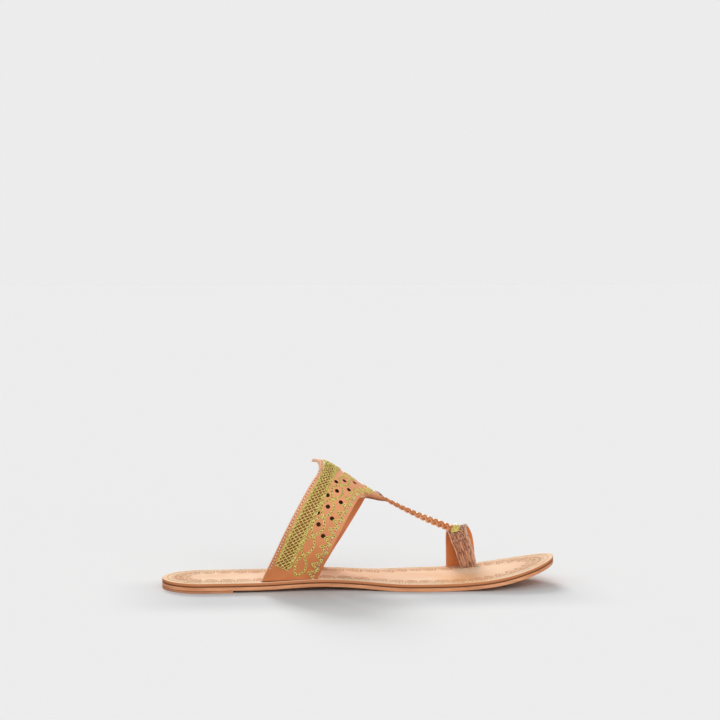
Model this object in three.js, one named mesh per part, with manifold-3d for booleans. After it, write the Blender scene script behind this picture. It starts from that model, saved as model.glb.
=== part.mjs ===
// A kolhapuri sandal for the right foot, in millimetres: +X to the toe, +Y to the big toe side, +Z up.
// It is built in layers as a cobbler builds it. A heel lift and an outsole lie under an insole with
// four slots, and the upper's straps pass through those slots: a wide band over the instep, a plaited
// cord that runs forward from its tongue, and a ring for the big toe, joined where they meet.
// The origin is the middle of the heel lift's flat underside, on the floor.

import * as THREE from "three";
import { mergeVertices } from "three/addons/utils/BufferGeometryUtils.js";
import Module from "manifold-3d";

const wasm = await Module();
wasm.setup();

// Fits
const clearance = 0.3; // between pieces that lie against each other

// Sole, in plan
const soleLength = 260;
const heelWidth = 61;
const waistWidth = 57;
const ballWidth = 78;
const toeTipShift = 1.5; // the tip lies this far to the big toe side of the centre line
const heelRound = 25; // length over which the back rounds off
const innerToeRound = 46; // the same for the front, on the big toe side
const outerToeRound = 55; // and on the little toe side

// Sole, from the side
const insoleThickness = 2.1;
const outsoleThickness = 2.6;
const edgeBevel = 0.5;
const heelLiftThickness = 1.1;
const heelLiftLength = 45;
const heelSeatLength = 58; // the stretch behind the arch that lies level
const ballStart = 158; // the forefoot's level stretch starts here and ends at ballEnd
const ballEnd = 178;
const archRise = 2;
const toeSpring = 12.7;
const heelOrigin = 24; // from the back of the heel to the middle of its lift

// Band over the instep
const bandWall = 2.2;
const bandBack = 66.6; // where its back and front edges meet the sole, on the centre line
const bandFront = 103.1;
const bandTurn = 8.8; // degrees by which the big toe side lies further forward
const bandLean = 28.7; // degrees by which its legs lean forward
const bandTwist = 0.134; // more slope in the lean at bandSpread to the big toe side, less at the other
const bandSpread = 64;
const backHeight = 80; // height of the crest over the floor, at the back and the front edge
const frontHeight = 62.7;
const bandInset = 3; // from the sole's edge to the band's outer face
const beakLength = 10.5;
const beakSpread = 26; // half of the stretch that flares into the beak
const beakDrop = 3.6; // by which the beak's tip bends down from the crest's line
const tongueLength = 14.5;
const tongueSpread = 25;
const tongueNeck = 3; // half of the tongue's width where the plait starts
const tongueRise = 1; // by which the plait pulls the tongue's end up from the band's slope
const tongueArch = 0.25; // fall of the tongue's rim for each millimetre from its middle
const flarePower = 1.8; // how hollow the curves into the beak and the tongue are
const flareStep = 1.8; // between the wall's sections, in the flares and in the legs
const legStep = 4;

// Punched holes in the band
const holeRadius = 1.4;
const holePitch = 13.9; // along the band
const holeShift = -1.8; // their middle lies this far to the little toe side of the crest
const outerHoles = 5; // in the row near the front edge, on each side of the middle
const middleHoles = 4;
const backHoles = 3;

// Ring for the big toe
const ringWall = 1.8;
const ringFront = 213; // front edge of its inner leg at the sole
const ringWidth = 20; // of the inner leg at the sole
const ringHeight = 29; // of the crown's front edge over the insole
const ringTilt = 2.2; // the crown's back edge lies this much lower
const ringSpan = 17; // across its legs, outside
const ringInset = 2.2; // from the sole's edge to the ring's outer face

// Plait from the tongue to the ring
const plaitWidth = 5.4; // at the ring
const plaitStartShare = 0.56; // of that width, at the tongue
const strandRadius = 1.35;
const strandFlatness = 0.86; // a strand's thickness as a share of its width
const plaitPitch = 13.2; // one full crossing cycle of a strand
const plaitLap = 4; // how far the plait lies on the tongue and on the ring's crown
const plaitSag = 1;
const plaitUnder = 0.8; // from the ring's inner face down to the plait's middle, at the crown

// Edges of the sole seen from above. at is a share of soleLength from the back of the heel, size the
// width that rules there, and inner and outer are the edges' distances from the centre line, as
// shares of half of that width.
const soleStations = [
  { at: 0.0, size: heelWidth, inner: 0.95, outer: 0.95 },
  { at: 0.13, size: heelWidth, inner: 1.02, outer: 0.97 },
  { at: 0.26, size: heelWidth, inner: 1.02, outer: 0.95 },
  { at: 0.39, size: waistWidth, inner: 0.97, outer: 0.98 },
  { at: 0.5, size: waistWidth, inner: 0.99, outer: 1.05 },
  { at: 0.62, size: ballWidth, inner: 0.93, outer: 0.96 },
  { at: 0.72, size: ballWidth, inner: 0.97, outer: 0.98 },
  { at: 0.84, size: ballWidth, inner: 0.98, outer: 1.03 },
  { at: 1.0, size: ballWidth, inner: 0.87, outer: 0.95 },
];

// The band's shape from leg to leg, between its two feet in the sole. side is a share of
// bandSpread from the centre line, plus to the big toe side, and rise a share of the crest's height.
const bandForm = [
  { side: -0.463, rise: 0.26 },
  { side: -0.498, rise: 0.52 },
  { side: -0.41, rise: 0.735 },
  { side: -0.281, rise: 0.9 },
  { side: -0.095, rise: 0.985 },
  { side: 0.133, rise: 1.0 },
  { side: 0.364, rise: 0.935 },
  { side: 0.484, rise: 0.79 },
  { side: 0.518, rise: 0.58 },
  { side: 0.503, rise: 0.3 },
];
const crestRow = 5; // the row of the crest

// Values at any place between the rows of a table, on a smooth curve through them.
function through(places, values) {
  const last = places.length - 1;
  const slope = values.map((value, i) => {
    const before = Math.max(i - 1, 0);
    const after = Math.min(i + 1, last);
    return (values[after] - values[before]) / (places[after] - places[before]);
  });
  return (place) => {
    const next = places.findIndex((p) => p > place);
    const i = next < 0 ? last - 1 : Math.max(next - 1, 0);
    const span = places[i + 1] - places[i];
    const t = THREE.MathUtils.clamp((place - places[i]) / span, 0, 1);
    const rise = t * t * (3 - 2 * t);
    const ease = t * (1 - t);
    return (
      values[i] * (1 - rise) + values[i + 1] * rise + span * ease * (slope[i] * (1 - t) - slope[i + 1] * t)
    );
  };
}

const stationPlaces = soleStations.map((row) => row.at * soleLength);
const innerRun = through(stationPlaces, soleStations.map((row) => (row.size / 2) * row.inner));
const outerRun = through(stationPlaces, soleStations.map((row) => (-row.size / 2) * row.outer));

// A rounded end: 0 at the tip and 1 where the side takes over, as a quarter of an ellipse. The tip itself
// is a narrow facet, so that the sole's two edges stay apart.
const endFacet = 0.12;
function roundEnd(distance, length) {
  const share = Math.min((distance + endFacet) / length, 1);
  return Math.sqrt(1 - (1 - share) ** 2);
}

function edgeOfSole(x, run, toeRound) {
  const heel = run(x) * roundEnd(x, heelRound);
  return toeTipShift + (heel - toeTipShift) * roundEnd(soleLength - x, toeRound);
}
const innerEdge = (x) => edgeOfSole(x, innerRun, innerToeRound);
const outerEdge = (x) => edgeOfSole(x, outerRun, outerToeRound);

// Height of the outsole's underside: level at the heel, arched, level at the ball, then the toe spring.
function underside(x) {
  const seat = heelLiftThickness + clearance;
  const arch = THREE.MathUtils.clamp((x - heelSeatLength) / (ballStart - heelSeatLength), 0, 1);
  const spring = Math.max(x - ballEnd, 0) / (soleLength - ballEnd);
  const fall = arch * arch * (3 - 2 * arch);
  return seat * (1 - fall) + archRise * Math.sin(Math.PI * arch) ** 2 + toeSpring * spring ** 2;
}
const outsoleTop = (x) => underside(x) + outsoleThickness;
const insoleUnder = (x) => outsoleTop(x) + clearance;
const insoleTop = (x) => insoleUnder(x) + insoleThickness;

// A closed body through a row of sections with the same number of corners each.
function loft(sections) {
  const corners = sections[0].length;
  const positions = sections.flat().flatMap((point) => point.toArray());
  const index = [];
  for (let i = 0; i + 1 < sections.length; i++) {
    for (let j = 0; j < corners; j++) {
      const a = i * corners + j;
      const b = i * corners + ((j + 1) % corners);
      index.push(a, b, a + corners, b, b + corners, a + corners);
    }
  }
  const start = (sections.length - 1) * corners;
  for (let j = 1; j + 1 < corners; j++) {
    index.push(0, j + 1, j, start, start + j, start + j + 1);
  }
  const body = new THREE.BufferGeometry();
  body.setAttribute("position", new THREE.Float32BufferAttribute(positions, 3));
  body.setIndex(index);
  return facingOut(body);
}

// Turns every triangle round if the body was wound inside out.
function facingOut(body) {
  const corner = [new THREE.Vector3(), new THREE.Vector3(), new THREE.Vector3()];
  const places = body.attributes.position;
  const order = body.index.array;
  let volume = 0;
  for (let i = 0; i < order.length; i += 3) {
    corner.forEach((point, k) => point.fromBufferAttribute(places, order[i + k]));
    volume += corner[0].dot(corner[1].clone().cross(corner[2]));
  }
  if (volume < 0) {
    for (let i = 0; i < order.length; i += 3) {
      [order[i], order[i + 1]] = [order[i + 1], order[i]];
    }
  }
  return body;
}

function solidOf(geometry) {
  const bare = geometry.clone();
  bare.deleteAttribute("normal");
  bare.deleteAttribute("uv");
  const merged = mergeVertices(bare, 1e-5);
  return new wasm.Manifold(
    new wasm.Mesh({
      numProp: 3,
      vertProperties: new Float32Array(merged.attributes.position.array),
      triVerts: new Uint32Array(merged.index.array),
    }),
  );
}

function geometryOf(solid) {
  const mesh = solid.getMesh();
  const geometry = new THREE.BufferGeometry();
  geometry.setAttribute("position", new THREE.BufferAttribute(mesh.vertProperties, 3));
  geometry.setIndex(new THREE.BufferAttribute(mesh.triVerts, 1));
  geometry.computeVertexNormals();
  return geometry;
}

// Places from back to front, closer together towards both rounded ends.
function stations(from, to, count) {
  return Array.from({ length: count + 1 }, (_, i) => {
    return from + ((to - from) * (1 - Math.cos((Math.PI * i) / count))) / 2;
  });
}

// A layer of the sole between two heights. bevelTop and bevelUnder take the sharp corner off its edge.
function layer(places, under, top, bevelTop, bevelUnder) {
  return loft(
    places.map((x) => {
      const [y0, y1] = [outerEdge(x), innerEdge(x)];
      const inset = Math.min(edgeBevel, (y1 - y0) / 4);
      return [
        new THREE.Vector3(x, y0 + inset * bevelUnder, under(x)),
        new THREE.Vector3(x, y0, under(x) + edgeBevel * bevelUnder),
        new THREE.Vector3(x, y0, top(x) - edgeBevel * bevelTop),
        new THREE.Vector3(x, y0 + inset * bevelTop, top(x)),
        new THREE.Vector3(x, y1 - inset * bevelTop, top(x)),
        new THREE.Vector3(x, y1, top(x) - edgeBevel * bevelTop),
        new THREE.Vector3(x, y1, under(x) + edgeBevel * bevelUnder),
        new THREE.Vector3(x, y1 - inset * bevelUnder, under(x)),
      ];
    }),
  );
}

// The sole's sections, with one at each end of its level stretches.
const levels = [heelSeatLength, ballStart, ballEnd];
const fullLength = [...stations(0, soleLength, 56), ...levels].sort((a, b) => a - b);

function makeOutsole() {
  return layer(fullLength, underside, outsoleTop, 0, 1);
}

// The lift rounds off with the heel and is cut straight across at its front.
function makeHeelLift() {
  const rounded = stations(0, 2 * heelLiftLength, 36).filter((x) => x < heelLiftLength);
  const top = (x) => underside(x) - clearance;
  return layer([...rounded, heelLiftLength], () => 0, top, 0, 1);
}

// A strap is a ruled wall between a back curve and a front curve. along runs from one foot to the
// other, across from the back curve to the front curve, and depth is measured in from the outer face.
function strapPoint(strap, along, across, depth) {
  const reach = 0.002; // of the curve's parameter, to either side, for its direction
  const place = (u, v) => {
    const back = strap.back.getPoint(THREE.MathUtils.clamp(u, 0, 1));
    return back.lerp(strap.front.getPoint(THREE.MathUtils.clamp(u, 0, 1)), v);
  };
  const run = place(along + reach, across).sub(place(along - reach, across));
  const width = place(along, 1).sub(place(along, 0));
  const outward = width.cross(run).normalize();
  return place(along, across).addScaledVector(outward, -depth);
}

function widthOf(strap, along) {
  return strapPoint(strap, along, 0, 0).distanceTo(strapPoint(strap, along, 1, 0));
}

// across lists the wall's lines from back to front, as places across the strap and how far each sinks
// below the ruled surface. from and to are the depths of the wall's two faces.
function strapWall(strap, columns, across, from, to) {
  return loft(
    columns.map((along) => {
      const lines = across(along);
      const face = (depth) => lines.map((line) => strapPoint(strap, along, line.at, depth + line.sink));
      return [...face(from), ...face(to).reverse()];
    }),
  );
}
function straight(margin) {
  return () => [
    { at: -margin, sink: 0 },
    { at: 1 + margin, sink: 0 },
  ];
}

// One edge curve of the band: from its foot at the outer edge of the sole, over the instep, to its foot
// at the inner edge. It lies in a plane that leans forward and turns with the band.
const lean = Math.tan(THREE.MathUtils.degToRad(bandLean));
const turn = Math.tan(THREE.MathUtils.degToRad(bandTurn));
const footDepth = 6; // the legs are made this much too long, and then cut off flush with the insole

// Where a turned strap meets the sole, a set way in from the sole's edge at that very place.
function footOn(edge, base, inset) {
  let y = edge(base) + inset;
  for (let i = 0; i < 5; i++) {
    y = edge(base + turn * y) + inset;
  }
  return y;
}
function bandCurve(base, height) {
  const floor = insoleUnder(base);
  const slope = (y) => lean + (bandTwist * y) / bandSpread;
  const onPlane = (y, z) => new THREE.Vector3(base + turn * y + slope(y) * (z - floor), y, z);
  const outerFoot = footOn(outerEdge, base, bandInset);
  const innerFoot = footOn(innerEdge, base, -bandInset);
  return new THREE.CatmullRomCurve3([
    onPlane(outerFoot, floor - footDepth),
    onPlane(outerFoot, floor),
    ...bandForm.map((row) => onPlane(row.side * bandSpread, floor + row.rise * (height - floor))),
    onPlane(innerFoot, floor),
    onPlane(innerFoot, floor - footDepth),
  ]);
}
const band = { back: bandCurve(bandBack, backHeight), front: bandCurve(bandFront, frontHeight) };

// The curves' parameter at the crest, and at a distance along the band's middle from it.
const samples = 400;
const crestAlong = (crestRow + 2) / (bandForm.length + 3);
const middleOf = (i) => strapPoint(band, i / samples, 0.5, 0);
const lengthTo = [0];
for (let i = 1; i <= samples; i++) {
  lengthTo.push(lengthTo[i - 1] + middleOf(i).distanceTo(middleOf(i - 1)));
}
const outerLeg = lengthTo[Math.round(crestAlong * samples)];
const innerLeg = lengthTo[samples] - outerLeg;
function alongAt(distance) {
  const wanted = outerLeg + distance;
  const i = THREE.MathUtils.clamp(lengthTo.findIndex((length) => length >= wanted), 1, samples);
  const part = (wanted - lengthTo[i - 1]) / (lengthTo[i] - lengthTo[i - 1]);
  return (i - 1 + THREE.MathUtils.clamp(part, 0, 1)) / samples;
}

// Distances from the crest at which the band's wall has a section: close together in the flares.
function bandDistances() {
  const flare = Math.max(beakSpread, tongueSpread);
  const list = [0];
  const fill = (from, to, step, side) => {
    for (let distance = from; distance < to; distance += step) {
      list.push(side * distance);
    }
  };
  for (const [side, leg] of [[-1, outerLeg], [1, innerLeg]]) {
    fill(flareStep, flare, flareStep, side);
    fill(flare, leg, legStep, side);
    list.push(side * tongueNeck, side * leg);
  }
  return list.sort((a, b) => a - b);
}

// The beak and the tongue swing out from the straight edges in hollow curves.
function flareAt(distance, spread, flat) {
  const share = (spread - Math.max(Math.abs(distance), flat)) / (spread - flat);
  return Math.max(share, 0) ** flarePower;
}

// The lines that run along the band's wall, from its back edge to its front edge. at is a share of the
// band's width, beak and tongue how much of their reach is added there, and bend how much of their drop.
const bandLines = [
  { at: 0.0, beak: 1.0, tongue: 0.0, bend: 1.0 },
  { at: 0.03, beak: 0.5, tongue: 0.0, bend: 0.3 },
  { at: 0.12, beak: 0.0, tongue: 0.0, bend: 0.0 },
  { at: 0.9, beak: 0.0, tongue: 0.0, bend: 0.0 },
  { at: 0.98, beak: 0.0, tongue: 0.5, bend: 0.4 },
  { at: 1.0, beak: 0.0, tongue: 1.0, bend: 1.0 },
];

function makeBand() {
  const distances = bandDistances();
  const columns = distances.map(alongAt);
  const across = (along) => {
    const distance = distances[columns.indexOf(along)];
    const beak = flareAt(distance, beakSpread, 0);
    const tongue = flareAt(distance, tongueSpread, tongueNeck);
    const width = widthOf(band, along);
    return bandLines.map((line) => {
      const reach = tongueLength * tongue * line.tongue - beakLength * beak * line.beak;
      const fall = (tongueArch * Math.abs(distance) - tongueRise) * tongue;
      const drop = line.tongue > 0 ? fall : beakDrop * beak;
      return { at: line.at + reach / width, sink: drop * line.bend };
    });
  };
  return solidOf(strapWall(band, columns, across, 0, bandWall));
}

// Three rows of holes on each side of the middle. across is a share of the band's width, start the
// first hole's distance from the middle, as a share of the pitch.
const holeRows = [
  { across: 0.414, start: 1.48, count: backHoles },
  { across: 0.536, start: 1.02, count: middleHoles },
  { across: 0.725, start: 0.52, count: outerHoles },
];
function makeHoles() {
  const sides = 12;
  const punch = new THREE.CylinderGeometry(holeRadius, holeRadius, 4 * bandWall, sides);
  const holes = [];
  for (const row of holeRows) {
    for (let i = 0; i < row.count; i++) {
      for (const side of [-1, 1]) {
        const along = alongAt(holeShift + side * (row.start + i) * holePitch);
        const centre = strapPoint(band, along, row.across, bandWall / 2);
        const outward = strapPoint(band, along, row.across, -1).sub(centre).normalize();
        const turned = new THREE.Quaternion().setFromUnitVectors(new THREE.Vector3(0, 1, 0), outward);
        const place = new THREE.Matrix4().compose(centre, turned, new THREE.Vector3(1, 1, 1));
        holes.push(solidOf(punch.clone().applyMatrix4(place)));
      }
    }
  }
  return holes;
}

// The ring's shape from its foot between the toes, over the crown, to its foot by the sole's inner edge.
// side is a share of half of ringSpan from the middle, rise a share of the crown's height, and front and
// back are its edges' distances behind ringFront, as shares of ringWidth.
const ringForm = [
  { side: -1.0, rise: 0.0, front: 0.05, back: 0.58 },
  { side: -1.0, rise: 0.42, front: 0.18, back: 0.77 },
  { side: -0.93, rise: 0.72, front: 0.32, back: 0.93 },
  { side: -0.62, rise: 0.93, front: 0.39, back: 1.01 },
  { side: 0.0, rise: 1.0, front: 0.37, back: 1.04 },
  { side: 0.62, rise: 0.93, front: 0.27, back: 1.03 },
  { side: 0.93, rise: 0.72, front: 0.13, back: 1.02 },
  { side: 1.0, rise: 0.42, front: 0.05, back: 1.01 },
  { side: 1.0, rise: 0.0, front: 0.0, back: 1.0 },
];

function ringCurve(edge, height) {
  const foot = ringFront - ringForm[ringForm.length - 1][edge] * ringWidth;
  const middle = innerEdge(foot) - ringInset - ringSpan / 2;
  const places = ringForm.map((row) => {
    const x = ringFront - row[edge] * ringWidth;
    const z = row.rise ? insoleTop(x) + row.rise * height : insoleUnder(x);
    return new THREE.Vector3(x, middle + (row.side * ringSpan) / 2, z);
  });
  const below = (place) => place.clone().setZ(place.z - footDepth);
  return new THREE.CatmullRomCurve3([below(places[0]), ...places, below(places[places.length - 1])]);
}
const ring = { back: ringCurve("back", ringHeight - ringTilt), front: ringCurve("front", ringHeight) };
const ringColumns = Array.from({ length: 37 }, (_, i) => i / 36);

function makeRing() {
  return solidOf(strapWall(ring, ringColumns, straight(0), 0, ringWall));
}

// The plait: three strands that weave over and under each other, from the tongue to the crown. They
// press together in the middle, where a straight core stands for what they share.
function makePlait() {
  const tongueTip = 1 + tongueLength / widthOf(band, crestAlong);
  const lap = plaitLap / widthOf(band, crestAlong);
  const start = strapPoint(band, crestAlong, tongueTip - lap, bandWall / 2);
  const end = strapPoint(ring, 0.5, plaitLap / widthOf(ring, 0.5), ringWall + plaitUnder);
  const run = end.clone().sub(start);
  const length = run.length();
  const side = new THREE.Vector3(0, 0, 1).cross(run).normalize();
  const up = run.clone().cross(side).normalize();
  const steps = Math.round((length / plaitPitch) * 9);
  const corners = 7;
  const fullFrom = 0.6; // share of the length after which the plait has its full width
  const lift = 0.72; // a strand's rise and fall, as a share of its radius
  const swing = plaitWidth / 2 - strandRadius;
  const strand = (radius, weave) => {
    const sections = [];
    for (let i = 0; i <= steps; i++) {
      const share = i / steps;
      const size = plaitStartShare + (1 - plaitStartShare) * Math.min(share / fullFrom, 1);
      const { sideways, upward } = weave((2 * Math.PI * share * length) / plaitPitch);
      const centre = start
        .clone()
        .addScaledVector(run, share)
        .addScaledVector(side, size * swing * sideways)
        .addScaledVector(up, size * strandRadius * upward - plaitSag * Math.sin(Math.PI * share));
      sections.push(
        Array.from({ length: corners }, (_, j) => {
          const angle = (2 * Math.PI * j) / corners;
          return centre
            .clone()
            .addScaledVector(side, size * radius * Math.cos(angle))
            .addScaledVector(up, size * radius * strandFlatness * Math.sin(angle));
        }),
      );
    }
    return solidOf(loft(sections));
  };
  const woven = [0, 1, 2].map((number) => {
    const late = (2 * Math.PI * number) / 3;
    return strand(strandRadius, (phase) => {
      return { sideways: Math.sin(phase + late), upward: lift * Math.sin(2 * (phase + late)) };
    });
  });
  const middle = strand(swing, () => ({ sideways: 0, upward: 0 }));
  return [...woven, middle];
}

// Everything below the insole's underside, to cut the straps' feet off flush.
function makeFooting() {
  return solidOf(layer(fullLength, () => -footDepth * 2, insoleUnder, 0, 0));
}

function makeUpper() {
  let upper = makeBand();
  for (const hole of makeHoles()) {
    upper = upper.subtract(hole);
  }
  upper = upper.add(makeRing());
  for (const strand of makePlait()) {
    upper = upper.add(strand);
  }
  return upper.subtract(makeFooting());
}

// The insole has a slot round each foot of a strap, wider than the strap by the clearance.
function makeInsole() {
  let insole = solidOf(layer(fullLength, insoleUnder, insoleTop, 1, 0));
  const slotShare = 0.22; // of the strap's curve, at either end
  const sections = 8;
  const feet = [
    [band, bandWall, widthOf(band, 0)],
    [ring, ringWall, widthOf(ring, 0)],
  ];
  for (const [strap, wall, width] of feet) {
    const margin = clearance / width;
    for (const offset of [0, 1 - slotShare]) {
      const columns = Array.from({ length: sections + 1 }, (_, i) => offset + (slotShare * i) / sections);
      const cutter = strapWall(strap, columns, straight(margin), -clearance, wall + clearance);
      insole = insole.subtract(solidOf(cutter));
    }
  }
  return insole;
}

const group = new THREE.Group();
function addNode(name, geometry, color, roughness) {
  const material = new THREE.MeshStandardMaterial({ color, roughness, metalness: 0 });
  const mesh = new THREE.Mesh(geometry, material);
  mesh.name = name;
  mesh.position.x = -heelOrigin;
  group.add(mesh);
}

addNode("heel_lift", makeHeelLift(), "#c98457", 0.75);
addNode("outsole", makeOutsole(), "#c07a4a", 0.7);
addNode("insole", geometryOf(makeInsole()), "#ecc3a0", 0.5);
addNode("upper", geometryOf(makeUpper()), "#d2804c", 0.55);

export default group;
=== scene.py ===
import math

import bpy
import mathutils
import numpy as np
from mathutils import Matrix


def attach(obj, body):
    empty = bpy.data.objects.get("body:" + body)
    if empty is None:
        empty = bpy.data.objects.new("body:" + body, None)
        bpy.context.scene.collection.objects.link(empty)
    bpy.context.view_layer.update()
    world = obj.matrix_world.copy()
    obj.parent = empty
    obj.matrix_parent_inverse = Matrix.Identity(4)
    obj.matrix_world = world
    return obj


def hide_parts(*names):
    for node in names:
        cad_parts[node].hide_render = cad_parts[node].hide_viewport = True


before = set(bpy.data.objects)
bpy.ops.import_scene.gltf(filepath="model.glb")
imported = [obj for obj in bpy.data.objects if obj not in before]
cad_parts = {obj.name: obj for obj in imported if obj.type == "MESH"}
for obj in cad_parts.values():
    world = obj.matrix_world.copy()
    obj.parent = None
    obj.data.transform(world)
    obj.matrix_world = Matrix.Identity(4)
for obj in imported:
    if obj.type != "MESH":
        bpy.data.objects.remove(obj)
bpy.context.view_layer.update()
bpy.ops.object.select_all(action="DESELECT")
scene = bpy.context.scene
mm = 0.001

# The studio. A camera with a long lens stands low on the little toe side, a little round to the heel.
# The paper floor runs out to a backdrop of its own colour. The light is soft: an even sky, a lamp low
# behind the sandal, a weak one above it, and a broad one from the camera's side.
look_at = (106 * mm, 0.0, 20 * mm)
lens = 120
distance = 1.5936
turned = math.radians(6)
raised = math.radians(8.3)
aimed = (math.radians(90 - 3.68), 0.0, math.radians(-6.02))
backdrop_grey = (0.84, 0.84, 0.84, 1)
paper_grey = (0.83, 0.83, 0.83, 1)
# the paper's colour inside its painted shadow
painted_shadow_grey = (0.66, 0.66, 0.665, 1)
sky_light = 0.32
camera_place = (
    look_at[0] - distance * math.cos(raised) * math.sin(turned),
    look_at[1] - distance * math.cos(raised) * math.cos(turned),
    look_at[2] + distance * math.sin(raised),
)
bpy.ops.object.camera_add(location=camera_place, rotation=aimed)
camera = bpy.context.object
camera.data.lens = lens
scene.camera = camera
scene.view_settings.view_transform = "Standard"


def add(tree, kind, inputs=(), **settings):
    """A node of that kind with its settings, and its inputs set to values or linked to other sockets."""
    made = tree.nodes.new("ShaderNode" + kind)
    for key, value in settings.items():
        setattr(made, key, value)
    for key, value in dict(inputs).items():
        if isinstance(value, bpy.types.NodeSocket):
            tree.links.new(value, made.inputs[key])
        else:
            made.inputs[key].default_value = value
    return made


def calc(tree, operation, *values):
    """The result of one operation on numbers or sockets."""
    return add(tree, "Math", dict(enumerate(values)), operation=operation).outputs[0]


def ramp(tree, value, low, high):
    """0 at low, 1 at high, and even between."""
    return add(tree, "MapRange", {"Value": value, "From Min": low, "From Max": high}).outputs[0]


def coords(tree, kind):
    """Where a spot lies, in texture coordinates of that kind."""
    return add(tree, "TexCoord").outputs[kind]


def split(tree, vector):
    """The X, Y and Z of a vector."""
    return add(tree, "SeparateXYZ", {0: vector}).outputs


def new_finish(name):
    """A new material, with its nodes and the inputs of its shader."""
    material = bpy.data.materials.new(name)
    material.use_nodes = True
    tree = material.node_tree
    return material, tree, tree.nodes["Principled BSDF"].inputs


sky = bpy.data.worlds.new("studio_sky")
sky.use_nodes = True
sky.node_tree.nodes.clear()
seen = add(sky.node_tree, "LightPath").outputs["Is Camera Ray"]
lit = add(sky.node_tree, "Background", {"Color": (1, 1, 1, 1), "Strength": sky_light})
backdrop = add(sky.node_tree, "Background", {"Color": backdrop_grey, "Strength": 1.0})
both = add(sky.node_tree, "MixShader", {0: seen, 1: lit.outputs[0], 2: backdrop.outputs[0]})
add(sky.node_tree, "OutputWorld", {"Surface": both.outputs[0]})
scene.world = sky

# name, degrees from straight down towards the camera, degrees towards the toe, strength, softness
for name, tipped, sideways, strength, softness in (
    ("lamp_above", 24, 14, 0.5, 42),
    ("lamp_behind", 64, 8, 2.5, 20),
    ("lamp_in_front", -66, -12, 1.65, 60),
):
    turn_to = (math.radians(-tipped), math.radians(-sideways), 0.0)
    bpy.ops.object.light_add(type="SUN", rotation=turn_to)
    lamp = bpy.context.object
    lamp.name = name
    lamp.data.energy = strength
    lamp.data.angle = math.radians(softness)

bpy.ops.mesh.primitive_plane_add(size=12)
floor = bpy.context.object
floor.name = "floor"
paper, weave, look = new_finish("floor_paper")
spot = split(weave, coords(weave, "Object"))
painted_shadow_mask = 1.0
# axis, where the painted shadow on the paper starts, and where it is full, in millimetres
for axis, start, full in (("X", -70, 10), ("X", 275, 195), ("Y", -115, -62), ("Y", 38, 0)):
    limits = {"Value": spot[axis], "From Min": start * mm, "From Max": full * mm}
    inside = add(weave, "MapRange", limits, interpolation_type="SMOOTHSTEP").outputs[0]
    painted_shadow_mask = calc(weave, "MULTIPLY", painted_shadow_mask, inside)
# Painted shadow: the paper is mixed to a darker grey under the sandal and in front of it, towards the
# camera.
shaded = add(weave, "MixRGB", {0: painted_shadow_mask, 1: paper_grey, 2: painted_shadow_grey})
weave.links.new(shaded.outputs[0], look["Base Color"])
look["Roughness"].default_value = 0.9
look["Specular IOR Level"].default_value = 0.0
floor.data.materials.append(paper)

# The heel lift is one layer of hard bend leather, cut with the heel's round and straight across its
# front, and glued under the sole. Its edge is cut bare and shows the layers of the hide.
sole_length = 260
heel_width = 61
waist_width = 57
ball_width = 78
toe_tip_shift = 1.5
heel_round = 25
inner_toe_round = 46
outer_toe_round = 55
insole_thickness = 2.1
outsole_thickness = 2.6
lift_thickness = 1.1
lift_length = 45
seat_length = 58
ball_start = 158
ball_end = 178
arch_rise = 2
toe_spring = 12.7
heel_origin = 24
layer_gap = 0.3  # between the bare layers
ply_gap = 0.15  # the glued seam between two layers
# share of the length, width that rules there, and the inner and outer edge as shares of its half
sole_stations = (
    (0.00, heel_width, 0.95, 0.95),
    (0.13, heel_width, 1.02, 0.97),
    (0.26, heel_width, 1.02, 0.95),
    (0.39, waist_width, 0.97, 0.98),
    (0.50, waist_width, 0.99, 1.05),
    (0.62, ball_width, 0.93, 0.96),
    (0.72, ball_width, 0.97, 0.98),
    (0.84, ball_width, 0.98, 1.03),
    (1.00, ball_width, 0.87, 0.95),
)


def through(places, values, at):
    """Values at any place between a table's rows, on a smooth curve through them."""
    places = np.array(places, float)
    values = np.array(values, float)
    last = len(places) - 1
    after = np.minimum(np.arange(last + 1) + 1, last)
    before = np.maximum(np.arange(last + 1) - 1, 0)
    slope = (values[after] - values[before]) / (places[after] - places[before])
    i = np.clip(np.searchsorted(places, at, side="right") - 1, 0, last - 1)
    span = places[i + 1] - places[i]
    t = np.clip((at - places[i]) / span, 0, 1)
    rise = t * t * (3 - 2 * t)
    ease = span * t * (1 - t)
    return values[i] * (1 - rise) + values[i + 1] * rise + ease * (slope[i] * (1 - t) - slope[i + 1] * t)


def edge_of_sole(x, side):
    """The sole's edge at x from the back of the heel: side is 1 on the big toe side and -1 on the other."""
    shares = [row[2] if side > 0 else row[3] for row in sole_stations]
    half = [side * row[1] / 2 * share for row, share in zip(sole_stations, shares)]
    run = through([row[0] * sole_length for row in sole_stations], half, x)

    def round_end(along, length):
        return np.sqrt(1 - (1 - np.clip(along / length, 0, 1)) ** 2)

    heel = run * round_end(x, heel_round)
    toe = round_end(sole_length - x, inner_toe_round if side > 0 else outer_toe_round)
    return toe_tip_shift + (heel - toe_tip_shift) * toe


def outsole_under(x):
    """Level at the heel, arched at the waist, level at the ball, then the toe spring."""
    arch = np.clip((x - seat_length) / (ball_start - seat_length), 0, 1)
    spring = np.maximum(x - ball_end, 0) / (sole_length - ball_end)
    fall = arch * arch * (3 - 2 * arch)
    seat = lift_thickness + layer_gap
    return seat * (1 - fall) + arch_rise * np.sin(math.pi * arch) ** 2 + toe_spring * spring**2


def insole_top(x):
    """The face that the foot stands on."""
    return outsole_under(x) + outsole_thickness + layer_gap + insole_thickness


def get_places(piece):
    """Every point of a piece, in metres."""
    flat = np.empty(len(piece.data.vertices) * 3, np.float32)
    piece.data.vertices.foreach_get("co", flat)
    return flat.reshape(-1, 3).astype(float)


def set_places(piece, places):
    """Moves every point of a piece to its new place."""
    piece.data.vertices.foreach_set("co", places.astype(np.float32).ravel())
    piece.data.update()


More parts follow.
